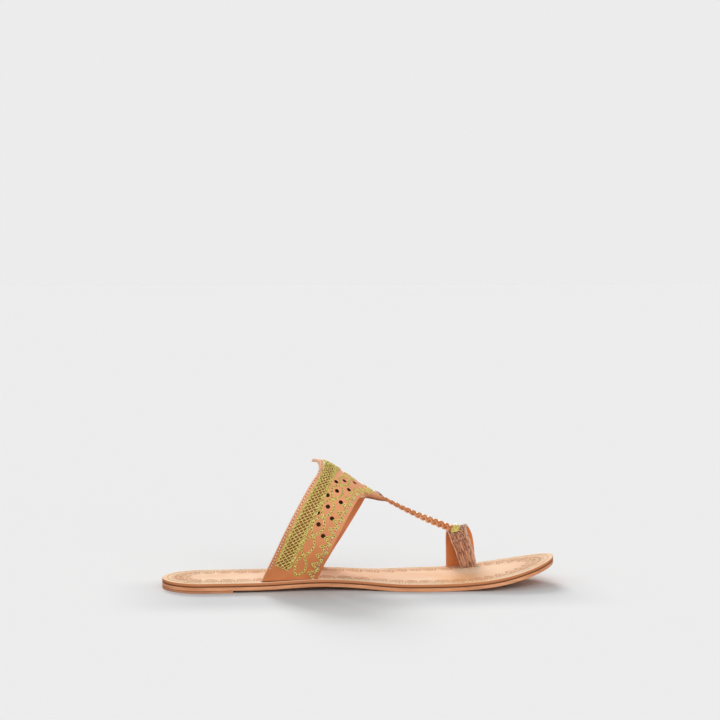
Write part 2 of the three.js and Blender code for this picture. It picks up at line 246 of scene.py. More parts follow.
def flat_sheet(name, columns, rows):
    """A flat sheet of so many quads each way, and each point's place on it as shares."""
    bpy.ops.mesh.primitive_grid_add(x_subdivisions=columns, y_subdivisions=rows, size=1)
    piece = bpy.context.object
    piece.name = piece.data.name = name
    return piece, get_places(piece) + 0.5


def unit(rows):
    """Each row's direction, as a row of length 1."""
    return rows / np.linalg.norm(rows, axis=1)[:, None]


def take_up(piece):
    """Makes one piece the only one selected, and the active one."""
    bpy.ops.object.select_all(action="DESELECT")
    piece.select_set(True)
    bpy.context.view_layer.objects.active = piece


def in_edit(piece, *steps):
    """Opens the piece in edit mode with everything selected and takes the steps in turn."""
    take_up(piece)
    bpy.ops.object.mode_set(mode="EDIT")
    bpy.ops.mesh.select_mode(type="VERT")
    bpy.ops.mesh.select_all(action="SELECT")
    for step in steps:
        step()
    bpy.ops.object.mode_set(mode="OBJECT")


def close_ends():
    """In edit mode: sews a wrapped sheet's long edges together and fills its open ends."""
    bpy.ops.mesh.remove_doubles(threshold=0.000001)
    bpy.ops.mesh.select_all(action="DESELECT")
    bpy.ops.mesh.select_non_manifold()
    bpy.ops.mesh.edge_face_add()


def close_and_smooth(piece, sharp=38):
    """Merges a shaped sheet's edges, turns its faces outwards and shades it smooth up to sharp edges."""
    in_edit(
        piece,
        lambda: bpy.ops.mesh.remove_doubles(threshold=0.00001),
        lambda: bpy.ops.mesh.normals_make_consistent(inside=False),
    )
    bpy.ops.object.shade_smooth_by_angle(angle=math.radians(sharp))


def give_map(piece, name, along, across):
    """A UV map from two values for each vertex, such as millimetres along and across a cut piece."""
    layer = piece.data.uv_layers.get(name) or piece.data.uv_layers.new(name=name)
    corner = np.empty(len(piece.data.loops), np.int32)
    piece.data.loops.foreach_get("vertex_index", corner)
    pairs = np.stack([along[corner], across[corner]], -1).astype(np.float32)
    layer.data.foreach_set("uv", pairs.ravel())


def cut_ply(name, under, top, length, stations, top_rows, under_rows, rounding):
    """One layer of the sole between two heights. It starts as a flat sheet, which is wrapped round the
    layer's section at every station, from the middle of the underside round the edges and back."""
    turns = np.linspace(0, math.pi / 2, 5)
    corner = [(rounding * (1 - math.sin(a)), rounding * (1 - math.cos(a))) for a in turns]
    # inset from the edge, height from the underside (or from the top, where marked), and share across
    ring = [(rounding, 0.0, False, s) for s in np.linspace(0, 1, under_rows)[:-1]]
    ring += [(inset, lift, False, 1.0) for inset, lift in corner]
    ring += [(inset, -lift, True, 1.0) for inset, lift in corner[::-1]]
    ring += [(rounding, 0.0, True, s) for s in np.linspace(1, 0, top_rows)[1:-1]]
    ring += [(inset, -lift, True, 0.0) for inset, lift in corner]
    ring += [(inset, lift, False, 0.0) for inset, lift in corner[::-1]]
    piece, flat = flat_sheet(name, stations, len(ring))
    # stations lie closer together towards a round end
    if length == sole_length:
        x = length * (1 - np.cos(math.pi * flat[:, 0])) / 2
    else:
        x = length * (1 - np.cos(math.pi / 2 * flat[:, 0]))
    place = np.round(flat[:, 1] * len(ring)).astype(int) % len(ring)
    inset, lift, from_top, share = (np.array([row[k] for row in ring])[place] for k in range(4))
    step = 0.01
    sides = []
    for side in (-1, 1):
        here = np.clip(x, step, sole_length - step)
        slope = (edge_of_sole(here + step, side) - edge_of_sole(here - step, side)) / (2 * step)
        size = np.sqrt(1 + slope**2)
        y = edge_of_sole(np.clip(x, step / 4, sole_length - step / 4), side)
        sides.append((x + side * slope / size * inset, y - side / size * inset))
    px = sides[0][0] + (sides[1][0] - sides[0][0]) * share
    py = sides[0][1] + (sides[1][1] - sides[0][1]) * share
    if length < sole_length:
        px = np.minimum(px, length)
    z = np.where(from_top, top(px), under(px)) + lift
    height = (z - under(px)) / (top(px) - under(px))
    set_places(piece, np.stack([px - heel_origin, py, z], -1) * mm)
    give_map(piece, "UVMap", height, px * mm)
    in_edit(piece, close_ends)
    close_and_smooth(piece)
    return piece


heel_lift = cut_ply(
    "heel_lift_leather",
    lambda x: 0 * x,
    lambda x: outsole_under(x) - ply_gap,
    lift_length,
    stations=60,
    top_rows=12,
    under_rows=12,
    rounding=0.25,
)
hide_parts("heel_lift")
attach(heel_lift, "root")


def leather_grain():
    """Height of the grain and slow changes of tone, as on vegetable tanned hide."""
    tree = bpy.data.node_groups.new("leather_grain", "ShaderNodeTree")
    for name, way, kind in (
        ("Vector", "INPUT", "Vector"),
        ("Pores", "INPUT", "Float"),
        ("Height", "OUTPUT", "Float"),
        ("Tone", "OUTPUT", "Float"),
    ):
        tree.interface.new_socket(name, in_out=way, socket_type="NodeSocket" + kind)
    given = tree.nodes.new("NodeGroupInput").outputs
    put = tree.nodes.new("NodeGroupOutput").inputs
    place = given["Vector"]
    warp = add(tree, "TexNoise", {"Vector": place, "Scale": 300.0, "Detail": 2.0})
    bend = add(tree, "VectorMath", {0: warp.outputs["Color"], "Scale": 0.6 * mm}, operation="SCALE")
    bent = add(tree, "VectorMath", {0: place, 1: bend.outputs[0]}, operation="ADD").outputs[0]
    pores = add(tree, "TexVoronoi", {"Vector": bent, "Scale": given["Pores"]}, feature="DISTANCE_TO_EDGE")
    soft = ramp(tree, pores.outputs["Distance"], 0.0, 0.25)
    dust = add(tree, "TexNoise", {"Vector": place, "Scale": 2600.0, "Detail": 3.0}).outputs["Fac"]
    blotches = add(tree, "TexNoise", {"Vector": place, "Scale": 45.0, "Detail": 5.0}).outputs["Fac"]
    tree.links.new(calc(tree, "MULTIPLY_ADD", dust, 0.6, soft), put["Height"])
    tree.links.new(ramp(tree, blotches, 0.3, 0.7), put["Tone"])
    return tree


grain_group = leather_grain()


def leather(name, dark, light, roughness, vector="Object", pores=1300.0, bump=0.06, gloss=0.25):
    """A leather finish that wanders between two tones, over a grain of pores."""
    material, tree, look = new_finish(name)
    grain = add(tree, "Group", {"Vector": coords(tree, vector), "Pores": pores}, node_tree=grain_group)
    mixed = add(tree, "MixRGB", {0: grain.outputs["Tone"], 1: dark + (1,), 2: light + (1,)})
    relief = add(tree, "Bump", {"Height": grain.outputs["Height"], "Strength": 1.0, "Distance": bump * mm})
    tree.links.new(mixed.outputs[0], look["Base Color"])
    tree.links.new(relief.outputs[0], look["Normal"])
    look["Roughness"].default_value = roughness
    look["Specular IOR Level"].default_value = gloss
    return material


def stain(finish, amount, tint):
    """Rubs a tint over a leather finish, by an amount from 0 to 1."""
    tree = finish.node_tree
    colour = tree.nodes["Principled BSDF"].inputs["Base Color"]
    over = add(tree, "MixRGB", {0: amount, 1: colour.links[0].from_socket, 2: tint + (1,)})
    tree.links.new(over.outputs[0], colour)


def press_in(finish, pattern, depth):
    """Presses a pattern into a leather finish, to a depth in millimetres."""
    tree = finish.node_tree
    normal = tree.nodes["Principled BSDF"].inputs["Normal"]
    relief = normal.links[0].from_socket
    pressed = add(tree, "Bump", {"Height": pattern, "Distance": -depth * mm, "Normal": relief})
    tree.links.new(pressed.outputs[0], normal)


def flat_place(finish):
    """How far along and across the flat piece a spot of it lies, in metres."""
    return split(finish.node_tree, coords(finish.node_tree, "UV"))


def cut_edge_lines(finish, tint, amount):
    """Fine lines along a cut edge, where the layers of the hide show, laid over a finish."""
    tree = finish.node_tree
    place = coords(tree, "Object")
    flat = add(tree, "VectorMath", {0: place, 1: (60, 60, 1500)}, operation="MULTIPLY").outputs[0]
    fibres = add(tree, "TexNoise", {"Vector": flat, "Scale": 1.0, "Detail": 4.0}).outputs["Fac"]
    stain(finish, calc(tree, "MULTIPLY", ramp(tree, fibres, 0.45, 0.7), amount), tint)


lift_finish = leather("lift_leather", (0.55, 0.23, 0.11), (0.75, 0.36, 0.19), 0.7)
cut_edge_lines(lift_finish, (0.2, 0.075, 0.035), 0.5)
heel_lift.data.materials.append(lift_finish)

# The outsole is a full layer of the same bend leather, cut to the last's outline, with its edge rubbed
# round and stained brown. Its underside is left raw.
outsole = cut_ply(
    "outsole_leather",
    outsole_under,
    lambda x: outsole_under(x) + outsole_thickness,
    sole_length,
    stations=220,
    top_rows=30,
    under_rows=30,
    rounding=0.45,
)
outsole_finish = leather("sole_leather", (0.7, 0.29, 0.13), (0.92, 0.45, 0.23), 0.5)
cut_edge_lines(outsole_finish, (0.3, 0.105, 0.045), 0.55)
up_the_edge = flat_place(outsole_finish)["X"]
stain(outsole_finish, ramp(outsole_finish.node_tree, up_the_edge, 0.8, 1.0), (0.3, 0.11, 0.05))
outsole.data.materials.append(outsole_finish)
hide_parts("outsole")
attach(outsole, "root")

# The insole is thinner, paler grain leather with a stained edge. It is stitched to the sole all round
# and tooled inside the stitches with half moons of dots. The straps go down through slots in it.
insole = cut_ply(
    "insole_leather",
    lambda x: outsole_under(x) + outsole_thickness + ply_gap,
    insole_top,
    sole_length,
    stations=220,
    top_rows=60,
    under_rows=30,
    rounding=0.5,
)
moon_pitch = 10.8
moon_inset = 7.2
moon_depth = 2.3  # how far they are drawn out inwards, as a share of their width
# axis, where the painted reflection of the toe ring starts, and where it is full, in millimetres
ring_reflection_patch = (("X", 148, 172), ("X", 200, 176), ("Y", 12, -10))
# radius of each row of dots in a half moon, and how many dots
moon_rows = ((4.4, 10), (2.5, 6), (0.9, 2))


def outline(inset, spacing):
    """Places along the sole's edge and in from it, from the heel to the toe on both sides, with the
    length along the edge of each."""
    runs = []
    for side in (-1, 1):
        x = sole_length / 2 * (1 - np.cos(np.linspace(0.004, math.pi - 0.004, 2400)))
        y = edge_of_sole(x, side)
        length = np.concatenate([[0], np.cumsum(np.hypot(np.diff(x), np.diff(y)))])
        at = np.arange(spacing / 2, length[-1], spacing)
        px, py = np.interp(at, length, x), np.interp(at, length, y)
        ahead = np.stack([np.interp(at + 1, length, a) - np.interp(at - 1, length, a) for a in (x, y)])
        ahead /= np.hypot(*ahead)
        runs.append(np.stack([px + side * ahead[1] * inset, py - side * ahead[0] * inset, at]))
    return np.concatenate(runs, axis=1)


def map_from_edge(piece):
    """A second map for the tooling: how far along the sole's edge, and how far in from it."""
    spots = get_places(piece) / mm + (heel_origin, 0, 0)
    x, y, at = outline(0, 0.3)
    tree = mathutils.kdtree.KDTree(len(x))
    for k in range(len(x)):
        tree.insert((x[k], y[k], 0), k)
    tree.balance()
    found = [tree.find((px, py, 0)) for px, py, _ in spots]
    along = np.array([at[hit[1]] for hit in found])
    inset = np.array([hit[2] for hit in found])
    give_map(piece, "edge_map", along * mm, inset * mm)


def tooled_moons(tree, edge_map):
    """1 in each dot of half moons punched along an edge, by a map along and in from the edge."""

    def distance(a, b):
        squares = calc(tree, "ADD", calc(tree, "MULTIPLY", a, a), calc(tree, "MULTIPLY", b, b))
        return calc(tree, "SQRT", squares)

    spot = split(tree, edge_map)
    pitch = moon_pitch * mm
    cell = calc(tree, "FRACT", calc(tree, "DIVIDE", spot["X"], pitch))
    x = calc(tree, "MULTIPLY", calc(tree, "SUBTRACT", cell, 0.5), pitch)
    y = calc(tree, "DIVIDE", calc(tree, "SUBTRACT", spot["Y"], moon_inset * mm), moon_depth)
    radius = distance(x, y)
    turn = calc(tree, "DIVIDE", calc(tree, "ARCTAN2", y, x), math.pi)
    dots = 0.0
    for ring, count in moon_rows:
        off_ring = calc(tree, "SUBTRACT", radius, ring * mm)
        step = calc(tree, "SUBTRACT", calc(tree, "FRACT", calc(tree, "MULTIPLY", turn, count)), 0.5)
        off_spot = calc(tree, "MULTIPLY", step, math.pi * ring * mm / count)
        away = distance(off_ring, off_spot)
        dots = calc(tree, "MAXIMUM", dots, ramp(tree, away, 0.62 * mm, 0.42 * mm))
    return calc(tree, "MULTIPLY", dots, ramp(tree, y, -0.4 * mm, -0.2 * mm))


def insole_finish():
    """Pale leather with its tooling, a painted reflection of the toe ring beside it, and a brown cut edge.
    """
    finish = leather("insole_leather", (0.9, 0.59, 0.39), (0.97, 0.72, 0.53), 0.45, bump=0.03, gloss=0.0)
    tree = finish.node_tree
    edge_map = add(tree, "UVMap", uv_map="edge_map").outputs[0]
    speckle = add(tree, "TexNoise", {"Vector": edge_map, "Scale": 1100.0, "Detail": 2.0}).outputs["Fac"]
    inset = split(tree, edge_map)["Y"]
    border = calc(tree, "MULTIPLY", ramp(tree, inset, 5 * mm, 6 * mm), ramp(tree, inset, 21 * mm, 15 * mm))
    specks = calc(tree, "MULTIPLY", ramp(tree, speckle, 0.58, 0.64), border)
    marks = calc(tree, "MAXIMUM", tooled_moons(tree, edge_map), specks)
    stain(finish, calc(tree, "MULTIPLY", marks, 0.8), (0.5, 0.18, 0.06))
    spot = split(tree, coords(tree, "Object"))
    # Painted reflection: an orange patch on the insole just in front of the toe ring, where the ring would
    # be mirrored in it.
    painted_reflection = 0.5
    for axis, start, full in ring_reflection_patch:
        painted_reflection = calc(tree, "MULTIPLY", painted_reflection, ramp(tree, spot[axis], start * mm, full * mm))
    stain(finish, painted_reflection, (0.9, 0.4, 0.14))
    cut_edge = ramp(tree, split(tree, coords(tree, "Normal"))["Z"], 0.8, 0.45)
    stain(finish, cut_edge, (0.58, 0.23, 0.1))
    low_down = ramp(tree, flat_place(finish)["X"], 0.4, 0.1)
    stain(finish, calc(tree, "MULTIPLY", low_down, cut_edge), (0.24, 0.085, 0.04))
    press_in(finish, marks, 0.25)
    return finish


map_from_edge(insole)
insole.data.materials.append(insole_finish())
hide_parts("insole")
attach(insole, "root")

# The band over the instep is one strap of tan leather, cut with a beak at the back and a tongue at the
# front, punched, embroidered, bent to shape and drawn through slots in the insole.
band_wall = 2.2
band_back = 66.6
band_front = 103.1
band_lean = math.tan(math.radians(28.7))
band_twist = 0.134  # more lean on the big toe side
band_turn = math.tan(math.radians(8.8))
band_spread = 64
back_height = 80
front_height = 62.7
band_inset = 3
beak_length = 10.5
beak_spread = 26
beak_drop = 3.6
tongue_length = 14.5
tongue_spread = 25
tongue_neck = 3
tongue_arch = 0.25
tongue_rise = 1
tongue_rims = (-2.5, 1.1)  # how far its far rim is rolled up, and its near rim down
foot_depth = 6
# place sideways as a share of band_spread, and height as a share of the crest's
band_form = (
    (-0.463, 0.26),
    (-0.498, 0.52),
    (-0.41, 0.735),
    (-0.281, 0.9),
    (-0.095, 0.985),
    (0.133, 1.0),
    (0.364, 0.935),
    (0.484, 0.79),
    (0.518, 0.58),
    (0.503, 0.3),
)
crest_row = 5


def curve_through(points):
    """A centripetal Catmull-Rom curve through the points, as a function of 0 to 1."""
    points = np.array(points, float)
    knots = np.vstack([2 * points[0] - points[1], points, 2 * points[-1] - points[-2]])

    def at(share):
        place = np.clip(np.atleast_1d(share), 0, 1) * (len(points) - 1)
        i = np.clip(np.floor(place).astype(int), 0, len(points) - 2)
        w = (place - i)[:, None]
        p0, p1, p2, p3 = (knots[i + k] for k in range(4))
        spans = ((p0, p1), (p1, p2), (p2, p3))
        d0, d1, d2 = (np.sqrt(np.linalg.norm(b - a, axis=1))[:, None] for a, b in spans)
        t1 = ((p1 - p0) / d0 - (p2 - p0) / (d0 + d1) + (p2 - p1) / d1) * d1
        t2 = ((p2 - p1) / d1 - (p3 - p1) / (d1 + d2) + (p3 - p2) / d2) * d1
        return p1 + t1 * w + (3 * (p2 - p1) - 2 * t1 - t2) * w**2 + (2 * (p1 - p2) + t1 + t2) * w**3

    return at


def insole_under(x):
    """The insole's underside, where the straps' feet end."""
    return outsole_under(x) + outsole_thickness + layer_gap


def band_curve(base, height):
    """One long edge of the band, from foot to foot, on a plane that leans forward from the sole."""
    floor_here = float(insole_under(np.array([base]))[0])

    def on_plane(y, z):
        slope = band_lean + band_twist * y / band_spread
        return (base + band_turn * y + slope * (z - floor_here), y, z)

    def foot_on(side):
        y = edge_of_sole(np.array([base]), side)[0] - side * band_inset
        for _ in range(5):
            y = edge_of_sole(np.array([base + band_turn * y]), side)[0] - side * band_inset
        return y

    near, far = foot_on(-1), foot_on(1)
    rise = [on_plane(side * band_spread, floor_here + up * (height - floor_here)) for side, up in band_form]
    return curve_through(
        [on_plane(near, floor_here - foot_depth), on_plane(near, floor_here)]
        + rise
        + [on_plane(far, floor_here), on_plane(far, floor_here - foot_depth)]
    )


def strap_place(strap, along, across, depth):
    """A point on a ruled strap: along and across it as shares, and depth in from its outer face."""
    back, front = strap
    reach = 0.002

    def place(u):
        return back(u) + (front(u) - back(u)) * across[:, None]

    run = place(along + reach) - place(along - reach)
    outward = unit(np.cross(front(along) - back(along), run))
    return place(along) - outward * depth[:, None]


band_curves = (band_curve(band_back, back_height), band_curve(band_front, front_height))
crest_along = (crest_row + 2) / (len(band_form) + 3)
band_steps = np.linspace(0, 1, 1301)
middle = strap_place(band_curves, band_steps, 0 * band_steps + 0.5, 0 * band_steps)
band_length_to = np.concatenate([[0], np.cumsum(np.linalg.norm(np.diff(middle, axis=0), axis=1))])
band_length_to -= np.interp(crest_along, band_steps, band_length_to)
band_feet = np.interp((1 / (len(band_form) + 3), 1 - 1 / (len(band_form) + 3)), band_steps, band_length_to)
across_band = band_curves[1](band_steps) - band_curves[0](band_steps)
band_widths = np.linalg.norm(across_band, axis=1)
band_run = unit(np.gradient(middle, axis=0))
band_skew = np.arcsin(np.einsum("ij,ij->i", across_band, band_run) / band_widths)


def flare_at(u, spread, flat):
    """How far the beak or the tongue stands out there, as a share of its length."""
    return np.clip((spread - np.maximum(np.abs(u), flat)) / (spread - flat), 0, 1) ** 1.8


def band_width(u):
    """The band's width there, from its back edge to its front."""
    return np.interp(u, band_length_to, band_widths)


def on_band(u, v, height):
    """The place of a spot of the band's flat pattern, in metres: u runs along the band from its crest, v
    across it from its back edge, and height stands off its outer face, all in millimetres."""
    width = band_width(u)
    beak = flare_at(u, beak_spread, 0)
    tongue = flare_at(u, tongue_spread, tongue_neck)
    bend_from = 0.12 * width
    into_beak = np.clip((bend_from - v) / (bend_from + beak_length), 0, 1) ** 2.1
    into_tongue = np.clip((v - 0.9 * width) / (0.1 * width + tongue_length), 0, 1) ** 1.5
    sink = beak_drop * beak * into_beak + (tongue_arch * np.abs(u) - tongue_rise) * tongue * into_tongue
    reach = tongue_length * tongue
    rim = np.exp(-(((width + reach - v) / 1.8) ** 2)) * np.clip(reach / 4, 0, 1)
    to_tip = np.clip((v - width) / tongue_length, 0, 1)
    sink = sink + rim * np.where(u > 0, *tongue_rims) * np.clip(np.abs(u) / 3, 0, 1) * (1 - to_tip**3)
    height = height * (1 - 0.5 * to_tip)
    along = np.interp(u, band_length_to, band_steps)
    place = strap_place(band_curves, along, v / width, sink - height)
    return (place - (heel_origin, 0, 0)) * mm


def skewed(u, v, along, across):
    """The flat spot that lies so far along and squarely across the band from (u, v)."""
    skew = np.interp(u, band_length_to, band_skew)
    return u + along - across * np.tan(skew), v + across / np.cos(skew)


hole_radius = 1.4
hole_pitch = 13.9
hole_shift = -1.8
# share across the band, the first hole's place from the middle in pitches, and how many on each side
hole_rows = ((0.414, 1.48, 3), (0.536, 1.02, 4), (0.725, 0.52, 5))
hole_spots = [
    (hole_shift + side * (start + i) * hole_pitch, across)
    for across, start, count in hole_rows
    for i in range(count)
    for side in (-1, 1)
]


def cut_band():
    """The flat band, with its beak, its tongue and its punched holes."""
    columns, rows = 264, 60
    ring, window = 2, 5
    piece, flat = flat_sheet("band_leather", columns, rows)
    i, j = np.round(flat[:, 0] * columns).astype(int), np.round(flat[:, 1] * rows).astype(int)
    u = band_feet[0] + (band_feet[1] - band_feet[0]) * flat[:, 0]
    share = flat[:, 1]
    out_back = np.clip((0.16 - share) / 0.16, 0, 1) ** 1.5
    out_front = np.clip((share - 0.8) / 0.2, 0, 1) ** 1.3
    v = (
        share * band_width(u)
        - beak_length * flare_at(u, beak_spread, 0) * out_back
        + tongue_length * flare_at(u, tongue_spread, tongue_neck) * out_front
    )
    in_hole = np.zeros(len(u), bool)
    for hole_u, across in hole_spots:
        hole_v = across * band_width(hole_u)
        skew = np.interp(hole_u, band_length_to, band_skew)
        square = (v - hole_v) * np.cos(skew)
        ahead = (u - hole_u) + (v - hole_v) * np.sin(skew)
        nearest = np.argmin(square**2 + ahead**2)
        di, dj = i - i[nearest], j - j[nearest]
        steps = np.maximum(np.abs(di), np.abs(dj))
        near = steps <= window
        cell = (band_feet[1] - band_feet[0]) / columns
        size = np.maximum(np.hypot(di * cell, dj * cell), 1e-9)
        radius = hole_radius * steps / ring
        blend = np.clip((window - steps) / (window - ring), 0, 1)
        new_ahead = ahead + (radius * di * cell / size - ahead) * blend
        new_square = square + (radius * dj * cell / size - square) * blend
        moved_u, moved_v = skewed(hole_u, hole_v, new_ahead, new_square)
        u = np.where(near, moved_u, u)
        v = np.where(near, moved_v, v)
        in_hole |= steps <= ring
    set_places(piece, np.stack([u, v, 0 * u], -1) * mm)
    take_up(piece)
    bpy.ops.object.mode_set(mode="EDIT")
    bpy.ops.mesh.select_mode(type="FACE")
    bpy.ops.mesh.select_all(action="DESELECT")
    bpy.ops.object.mode_set(mode="OBJECT")
    for polygon in piece.data.polygons:
        polygon.select = all(in_hole[k] for k in polygon.vertices)
    bpy.ops.object.mode_set(mode="EDIT")
    bpy.ops.mesh.delete(type="FACE")
    bpy.ops.object.mode_set(mode="OBJECT")
    return piece


def thicken(piece, wall, rounding):
    """Gives a flat cut piece its thickness below the outer face, and rubs its edges round."""
    take_up(piece)
    thick = piece.modifiers.new("thickness", "SOLIDIFY")
    thick.thickness = wall * mm
    thick.offset = -1
    thick.material_offset = 1
    thick.material_offset_rim = 2
    bpy.ops.object.modifier_apply(modifier=thick.name)
    if rounding:
        round_off = piece.modifiers.new("edges", "BEVEL")
        round_off.width = rounding * mm
        round_off.segments = 2
        round_off.limit_method = "ANGLE"
        round_off.angle_limit = math.radians(60)
        bpy.ops.object.modifier_apply(modifier=round_off.name)


def finish_band():
    """Tan leather with painted light that makes it paler high up, painted shade in the slits and under the
    braid, and painted shade in streaks on the tongue's rolled rim.
    """
    finish = leather("band_leather", (0.54, 0.175, 0.06), (0.74, 0.275, 0.11), 0.42, "UV", gloss=0.08)
    tree = finish.node_tree
    along = flat_place(finish)["X"]
    # Painted shade where the band goes down into each slot.
    near_slit = ramp(tree, along, slit_shade_reach[0][0] * mm, slit_shade_reach[0][1] * mm)
    far_slit = ramp(tree, along, slit_shade_reach[1][0] * mm, slit_shade_reach[1][1] * mm)
    stain(finish, calc(tree, "MAXIMUM", near_slit, far_slit), (0.07, 0.02, 0.01))
    # Painted light: the band is paler towards its top, where the lamps light it more.
    height_for_painted_light = split(tree, coords(tree, "Object"))["Z"]
    stain(finish, ramp(tree, height_for_painted_light, 24 * mm, 76 * mm), (0.98, 0.46, 0.24))
    # Painted shade on the leather between the braid's threads.
    stain(finish, add(tree, "Attribute", attribute_name="under_braid").outputs["Fac"], (0.24, 0.06, 0.02))
    # Painted shade on the tongue's rolled rim, broken up by streaks.
    rim = add(tree, "Attribute", attribute_name="tongue_rim").outputs["Fac"]
    streaks = add(tree, "TexNoise", {"Scale": 900.0, "Detail": 3.0}).outputs["Fac"]
    stain(finish, calc(tree, "MULTIPLY", rim, ramp(tree, streaks, 0.1, 0.45)), (0.2, 0.06, 0.025))
    return finish


def finish_band_edge():
    """The pale cut edge, which is dark round the tongue."""
    finish = leather("band_edge", (0.74, 0.45, 0.25), (0.92, 0.6, 0.39), 0.6, "UV")
    tree = finish.node_tree
    stain(finish, ramp(tree, flat_place(finish)["Y"], 33.5 * mm, 36 * mm), (0.36, 0.12, 0.045))
    # The painted shade of the tongue's rolled rim reaches over its cut edge too.
    stain(finish, add(tree, "Attribute", attribute_name="tongue_rim").outputs["Fac"], (0.2, 0.06, 0.025))
    return finish


# along the band: where the painted shade towards each slit starts, and where it is full
slit_shade_reach = ((-99.2, -99.9), (88.8, 89.5))
band = cut_band()
band.data.materials.append(finish_band())
band.data.materials.append(leather("band_lining", (0.6, 0.22, 0.085), (0.74, 0.3, 0.13), 0.5, "UV"))
band.data.materials.append(finish_band_edge())
# The walls of the punched holes are painted nearly black: painted shade inside the holes.
band.data.materials.append(leather("punched_holes", (0.02, 0.007, 0.004), (0.06, 0.02, 0.01), 0.8, "UV"))
thicken(band, band_wall, 0.35)
punched = np.array([(u, across * band_width(u)) for u, across in hole_spots])
cut_face, hole_face = 2, 3
for polygon in band.data.polygons:
    away = np.hypot(*(punched - np.array(polygon.center[:2]) / mm).T).min()
    if polygon.material_index == cut_face and away < hole_radius + 0.8:
        polygon.material_index = hole_face
band_spots = get_places(band) / mm
give_map(band, "UVMap", band_spots[:, 0] * mm, band_spots[:, 1] * mm)
set_places(band, on_band(*band_spots.T))
close_and_smooth(band)
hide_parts("upper")
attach(band, "root")

# The band is edge stitched in white thread along both sides, and embroidered in gold: a braid of long
# crossed stitches down the back, two chains that cross round the holes, and a zigzag down the front.
# Each stitch goes down through a needle hole, which shows dark.
gold_radius = 0.29
white_radius = 0.24
stitch_pitch = 2.1
braid_pitch = 2.8
link_pitch = 2.3
chain_nodes = (7.1, 21.3, 35.5, 49.7, 63.9, 78.5, 93.2)
chain_swing = 3.75
tooth_pitch = 6.65
tooth_height = 5.5
# the braid's two edges and the chains' middle, all squarely from the band's back edge: where they run,
# how far the crest draws them back, and over what length
braid_back_run = (3, 7.4, 18)
braid_front_run = (13.2, 5.5, 30)
chain_run = (17.4, 1.6, 18)
stitched_to = (-97.5, 87.5)
braid_ends = (-94.0, 86.5)


def near_crest(s, reach):
    """1 at the band's crest, falling to 0 on both sides."""
    return np.exp(-((s / reach) ** 2))


def square_width(s):
    """The band's width measured squarely."""
    return band_width(s) * np.cos(np.interp(s, band_length_to, band_skew))


def sewn(s, n, height):
    """A place in the embroidery, in metres: s along the band's middle, n squarely from its back edge."""
    s, n, height = (np.array(a, float) for a in np.broadcast_arrays(s, n, height))
    u, v = skewed(s, band_width(s) / 2, 0 * s, n - square_width(s) / 2)
    return on_band(u, v, height)


def unsewn(u, v):
    """The same the other way: from the flat pattern to along and squarely across."""
    s = u
    for _ in range(3):
        skew = np.interp(s, band_length_to, band_skew)
        square = (v - band_width(s) / 2) * np.cos(skew)
        s = u + square * np.tan(skew)
    return s, square + square_width(s) / 2


def drawn_back(s, run):
    """A line of embroidery along the band, drawn towards the back edge at the crest."""
    from_edge, drawn, reach = run
    return from_edge - drawn * near_crest(s, reach)


def braid_back(s):
    return drawn_back(s, braid_back_run)


def braid_front(s):
    return drawn_back(s, braid_front_run)


def front_line(s):
    """The line of white stitches along the front edge and out over the tongue."""
    return square_width(s) - 2.7 + tongue_length / 2 * flare_at(s, tongue_spread, tongue_neck)


def mark_band():
    """Marks the band's points for painted shade: those that lie under the braid, and those on the rolled
    rim of the tongue.
    """
    u, v = band_spots[:, 0], band_spots[:, 1]
    s, n = unsewn(u, v)
    braided = np.clip((n - braid_back(s)) / 0.8, 0, 1) * np.clip((braid_front(s) - n) / 0.8, 0, 1)
    braided = braided * np.clip(s - braid_ends[0], 0, 1) * np.clip(braid_ends[1] - s, 0, 1) * 0.85
    # Painted shade on the rolled rim of the tongue: full on the far rim, weaker on the near one.
    tongue_here = tongue_length * flare_at(u, tongue_spread, tongue_neck)
    from_rim = band_width(u) + tongue_here - v
    rim_shade = np.clip((3.4 - from_rim) / 1.2, 0, 1) * np.clip((tongue_here - 1.5) / 2, 0, 1)
    rim_shade = rim_shade * np.where(u > 0, 1.0, 0.45)
    for name, amount in (("under_braid", braided), ("tongue_rim", rim_shade)):
        marks = band.data.attributes.new(name, "FLOAT", "POINT")
        marks.data.foreach_set("value", amount.astype(np.float32))


mark_band()


def lay_threads(name, runs, radius, closed=False):
    """One mesh of round threads, each laid along its own run of places."""
    line = bpy.data.curves.new(name, "CURVE")
    line.dimensions = "3D"
    line.bevel_depth = radius * mm
    line.bevel_resolution = 1
    line.use_fill_caps = True
    for run in runs:
        spline = line.splines.new("POLY")
        spline.points.add(len(run) - 1)
        spline.points.foreach_set("co", np.concatenate([run, np.ones((len(run), 1))], 1).ravel())
        spline.use_cyclic_u = closed
    thread = bpy.data.objects.new(name, line)
    scene.collection.objects.link(thread)
    take_up(thread)
    bpy.ops.object.convert(target="MESH")
    thread = bpy.context.object
    close_and_smooth(thread, 80)
    return thread


def prick(name, places, normals, radius):
    """Needle holes: one small dark disc at each place, facing along its normal."""
    bpy.ops.mesh.primitive_circle_add(vertices=7, radius=radius * mm, fill_type="NGON")
    hole = bpy.context.object
    round_one = hole.data
    disc = get_places(hole)
    sides = len(disc)
    helper = unit(np.cross(normals, (0.31, 0.52, 0.8)))
    other = np.cross(normals, helper)
    spots = places[:, None] + disc[None, :, :1] * helper[:, None] + disc[None, :, 1:2] * other[:, None]
    dots = bpy.data.meshes.new(name)
    order = np.arange(len(places) * sides).reshape(-1, sides).tolist()
    dots.from_pydata(spots.reshape(-1, 3).tolist(), [], order)
    hole.name = dots.name = name
    hole.data = dots
    bpy.data.meshes.remove(round_one)
    return hole


